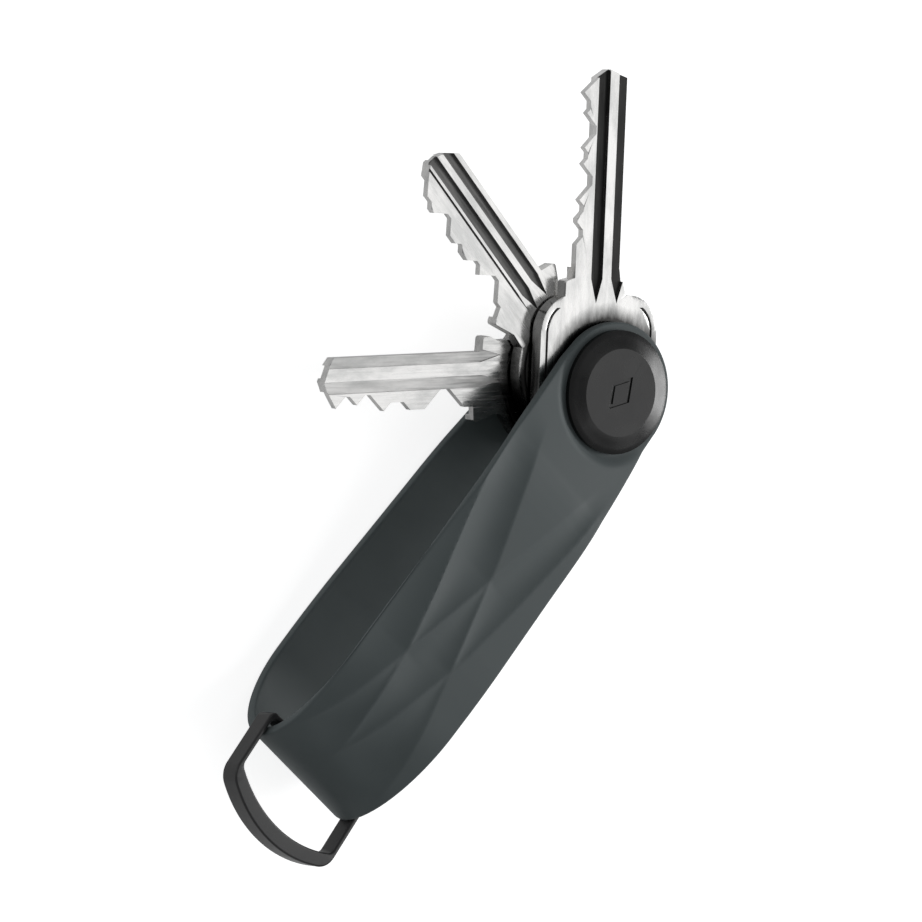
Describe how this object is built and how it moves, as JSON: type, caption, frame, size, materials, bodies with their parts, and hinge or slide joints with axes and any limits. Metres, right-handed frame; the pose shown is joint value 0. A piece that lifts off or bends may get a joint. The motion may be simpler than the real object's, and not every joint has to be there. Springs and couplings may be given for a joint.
{
  "type": "key organiser",
  "caption": "Folded moulded strap with round end caps on a post, fanned-out keys that turn on it, and a bent wire-like ring hanging in the fold.",
  "frame": {"origin": "middle of the key post, half way between the two ends of the strap", "axes": "+X from the post along the strap to its fold, +Z along the post to the plain front cap, keys fanned out to -Y"},
  "size_m": [0.1186, 0.0561, 0.0182],
  "materials": {
    "elastomer": "matte moulded elastomer, dark slate grey",
    "plain_steel": "turned stainless steel",
    "black_cap": "satin black anodised",
    "black_lock": "satin black, worn in the coin slot",
    "spacer_plastic": "black acetal washer",
    "key_nickel": "nickel plate over brass, brushed along the key",
    "black_ring": "satin black coated steel"
  },
  "bodies": {
    "holder": {"strap": "elastomer", "front_eyelet": "plain_steel", "rear_eyelet": "plain_steel", "front_cap": "black_cap", "rear_cap": "black_cap", "key_post": "plain_steel", "spring_washer": "plain_steel", "spacer_1": "spacer_plastic", "spacer_2": "spacer_plastic", "spacer_3": "spacer_plastic", "spacer_4": "spacer_plastic"},
    "key_1": {"key_1": "key_nickel"},
    "key_2": {"key_2": "key_nickel"},
    "key_3": {"key_3": "key_nickel"},
    "lock": {"lock_bolt": "black_lock", "lock_cross_pin": "plain_steel"},
    "strap_ring": {"strap_ring": "black_ring"}
  },
  "joints": [
    {"name": "key_1_turn", "type": "hinge", "parent": "holder", "child": "key_1", "pos_m": [0, 0, -0.00238], "axis": [0, 0, 1], "continuous": true},
    {"name": "key_2_turn", "type": "hinge", "parent": "holder", "child": "key_2", "pos_m": [0, 0, 0], "axis": [0, 0, 1], "continuous": true},
    {"name": "key_3_turn", "type": "hinge", "parent": "holder", "child": "key_3", "pos_m": [0, 0, 0.00238], "axis": [0, 0, 1], "continuous": true},
    {"name": "lock_turn", "type": "hinge", "parent": "holder", "child": "lock", "pos_m": [0, 0, -0.006], "axis": [0, 0, -1], "range_deg": [0, 90]},
    {"name": "ring_swing", "type": "hinge", "parent": "holder", "child": "strap_ring", "pos_m": [0.06988, 0, 0], "axis": [0, -1, 0], "range_deg": [-98, 82]}
  ]
}
